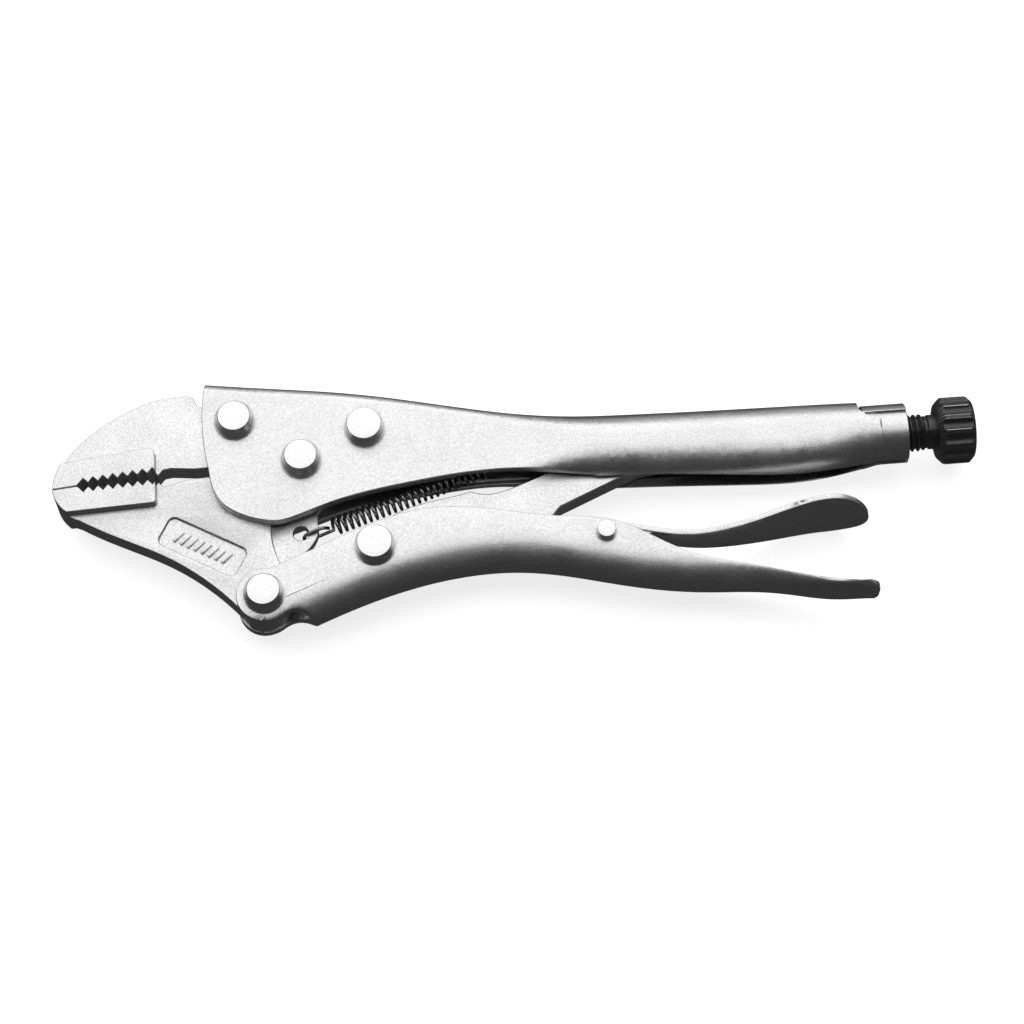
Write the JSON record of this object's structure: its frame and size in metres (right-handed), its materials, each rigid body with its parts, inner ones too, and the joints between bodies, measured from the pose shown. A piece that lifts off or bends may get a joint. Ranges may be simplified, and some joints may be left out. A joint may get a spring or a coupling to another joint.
{
  "type": "locking pliers",
  "caption": "Locking pliers with toothed straight jaws, toggle clamp, adjusting screw and release lever.",
  "frame": {"origin": "centre of the bounding box in X and Y, on the surface the pliers lie on", "axes": "+X along the adjusting screw towards its knob, +Y from the lower handle to the upper handle, +Z along the rivets"},
  "size_m": [0.2416, 0.0715, 0.0224],
  "materials": {
    "satin_steel": "satin nickel-chrome plate over blasted sheet",
    "forged_steel": "satin plated forging with fine grain",
    "rivet_steel": "smooth plated rivet heads",
    "black_oxide": "black oxide, slight oil sheen",
    "spring_wire": "drawn spring wire"
  },
  "bodies": {
    "upper_body": {"upper_handle": "satin_steel", "fixed_jaw": "forged_steel", "adjuster_nut": "satin_steel", "tension_spring": "spring_wire", "fixed_jaw_front_rivet": "rivet_steel", "fixed_jaw_rear_rivet": "rivet_steel", "jaw_pivot_rivet": "rivet_steel"},
    "jaw_body": {"movable_jaw": "forged_steel"},
    "lower_body": {"lower_handle": "satin_steel", "handle_pivot_rivet": "rivet_steel", "link_pivot_rivet": "rivet_steel", "release_lever_rivet": "rivet_steel"},
    "link_body": {"toggle_link": "forged_steel"},
    "release_body": {"release_lever": "satin_steel"},
    "screw_body": {"adjusting_screw": "black_oxide"},
    "knob_body": {"adjusting_knob": "black_oxide"}
  },
  "joints": [
    {"name": "jaw_open", "type": "hinge", "parent": "upper_body", "child": "jaw_body", "pos_m": [-0.0558, 0.01064, 0.0112], "axis": [0, 0, 1], "range_deg": [0, 20], "deforming": ["tension_spring"]},
    {"name": "handle_swing", "type": "hinge", "parent": "jaw_body", "child": "lower_body", "pos_m": [-0.0672, -0.02616, 0.0112], "axis": [0, 0, 1], "range_deg": [-71, 0]},
    {"name": "link_swing", "type": "hinge", "parent": "lower_body", "child": "link_body", "pos_m": [-0.0381, -0.01516, 0.0112], "axis": [0, 0, 1], "range_deg": [0, 73.2]},
    {"name": "release_press", "type": "hinge", "parent": "lower_body", "child": "release_body", "pos_m": [0.0217, -0.01586, 0.0112], "axis": [0, 0, 1], "range_deg": [-6, 0]},
    {"name": "screw_travel", "type": "slide", "parent": "upper_body", "child": "screw_body", "axis": [1, 0, 0], "range_m": [0, 0.012]},
    {"name": "knob_turn", "type": "hinge", "parent": "screw_body", "child": "knob_body", "pos_m": [0.1112, 0.00804, 0.0112], "axis": [1, 0, 0], "range_deg": [-10, 2890]}
  ],
  "couplings": [
    {"joint": "handle_swing", "follows": "jaw_open", "ratio": -3.53},
    {"joint": "link_swing", "follows": "jaw_open", "ratio": 3.643},
    {"joint": "knob_turn", "follows": "screw_travel", "rad_per_m": 4188.8}
  ]
}
